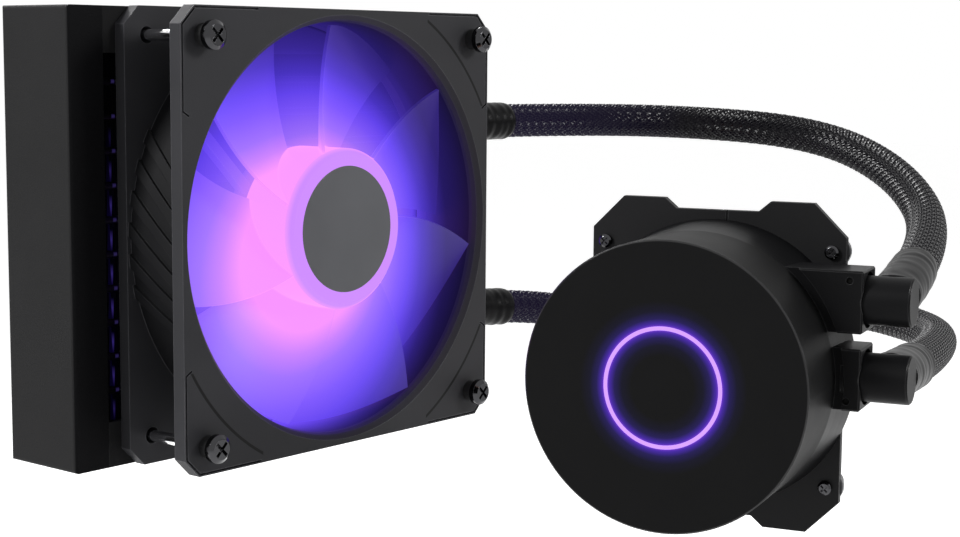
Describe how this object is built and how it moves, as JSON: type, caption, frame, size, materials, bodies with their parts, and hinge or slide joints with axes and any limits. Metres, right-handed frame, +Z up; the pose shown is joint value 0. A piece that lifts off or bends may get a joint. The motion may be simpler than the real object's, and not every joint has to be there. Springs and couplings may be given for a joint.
{
  "type": "all-in-one liquid cpu cooler",
  "caption": "Closed-loop liquid cooler: a square radiator with a lit fan, a round pump with a copper cold plate, and two braided hoses between them.",
  "frame": {"origin": "middle of the radiator's back face, at the centre of the square of case screw holes", "axes": "+Y out of the radiator's back, the way the air blows; +X along the radiator to the hose fittings; +Z up"},
  "size_m": [0.2631, 0.2025, 0.1338],
  "materials": {
    "radiator_paint": "satin black",
    "fin_paint": "matt black",
    "fan_plastic": "fine matt",
    "blade_plastic": "translucent, lit from the hub",
    "label_film": "satin",
    "magnet_iron": "plain",
    "shaft_steel": "bright",
    "bearing_brass": "plain",
    "winding_copper": "enamelled wire",
    "stator_iron": "plain",
    "board": "plain",
    "led": "clear",
    "screw_black": "black nickel",
    "washer_rubber": "matt",
    "cap_plastic": "soft matt",
    "light_guide": "lit",
    "body_plastic": "satin",
    "bracket_paint": "satin black",
    "standoff_steel": "blackened",
    "copper": "milled copper",
    "seal_rubber": "plain",
    "impeller_plastic": "plain",
    "ceramic": "polished",
    "hose_braid": "braided sleeve over rubber",
    "sleeve_film": "shrunk sleeve",
    "fitting_metal": "black anodised"
  },
  "bodies": {
    "cooler": {"left_tank": "radiator_paint", "right_tank": "radiator_paint", "left_header": "radiator_paint", "right_header": "radiator_paint", "tank_divider": "radiator_paint", "radiator_tubes": "fin_paint", "radiator_fins": "fin_paint", "top_channel": "radiator_paint", "bottom_channel": "radiator_paint", "upper_radiator_fitting": "fitting_metal", "lower_radiator_fitting": "fitting_metal", "fill_screw": "screw_black", "fan_frame": "fan_plastic", "fan_bearing": "bearing_brass", "fan_stator": "winding_copper", "fan_board": "board", "fan_leds": "led", "fan_screws": "screw_black", "fan_washers": "washer_rubber", "pump_cap": "cap_plastic", "light_ring": "light_guide", "light_board": "board", "ring_leds": "led", "pump_body": "body_plastic", "volute_plate": "impeller_plastic", "pump_shaft": "ceramic", "pump_stator": "stator_iron", "pump_coils": "winding_copper", "pump_board": "board", "bracket_left": "bracket_paint", "bracket_right": "bracket_paint", "bracket_screws": "screw_black", "bracket_standoffs": "standoff_steel", "base_frame": "body_plastic", "base_gasket": "seal_rubber", "cold_plate": "copper", "base_screws": "shaft_steel", "upper_elbow_pin": "shaft_steel", "lower_elbow_pin": "shaft_steel", "upper_hose": "hose_braid", "lower_hose": "hose_braid", "upper_radiator_sleeve": "sleeve_film", "lower_radiator_sleeve": "sleeve_film"},
    "fan_wheel": {"fan_rotor": "blade_plastic", "hub_label": "label_film", "fan_magnet": "magnet_iron", "fan_shaft": "shaft_steel"},
    "pump_wheel": {"impeller": "impeller_plastic", "pump_magnet": "magnet_iron"},
    "upper_swivel": {"upper_elbow": "body_plastic", "upper_elbow_seal": "seal_rubber", "upper_pump_sleeve": "sleeve_film"},
    "lower_swivel": {"lower_elbow": "body_plastic", "lower_elbow_seal": "seal_rubber", "lower_pump_sleeve": "sleeve_film"}
  },
  "joints": [
    {"name": "fan_spin", "type": "hinge", "parent": "cooler", "child": "fan_wheel", "pos_m": [0, -0.04, 0], "axis": [0, 1, 0], "continuous": true},
    {"name": "pump_spin", "type": "hinge", "parent": "cooler", "child": "pump_wheel", "pos_m": [0.01776, -0.15225, -0.0312], "axis": [0.9653, 0.261, 0], "continuous": true},
    {"name": "upper_elbow_turn", "type": "hinge", "parent": "cooler", "child": "upper_swivel", "pos_m": [0.04012, -0.19282, -0.0109], "axis": [0.261, -0.9653, 0], "range_deg": [-10, 10], "deforming": ["upper_hose"]},
    {"name": "lower_elbow_turn", "type": "hinge", "parent": "cooler", "child": "lower_swivel", "pos_m": [0.04012, -0.19282, -0.03], "axis": [0.261, -0.9653, 0], "range_deg": [-10, 10], "deforming": ["lower_hose"]}
  ]
}
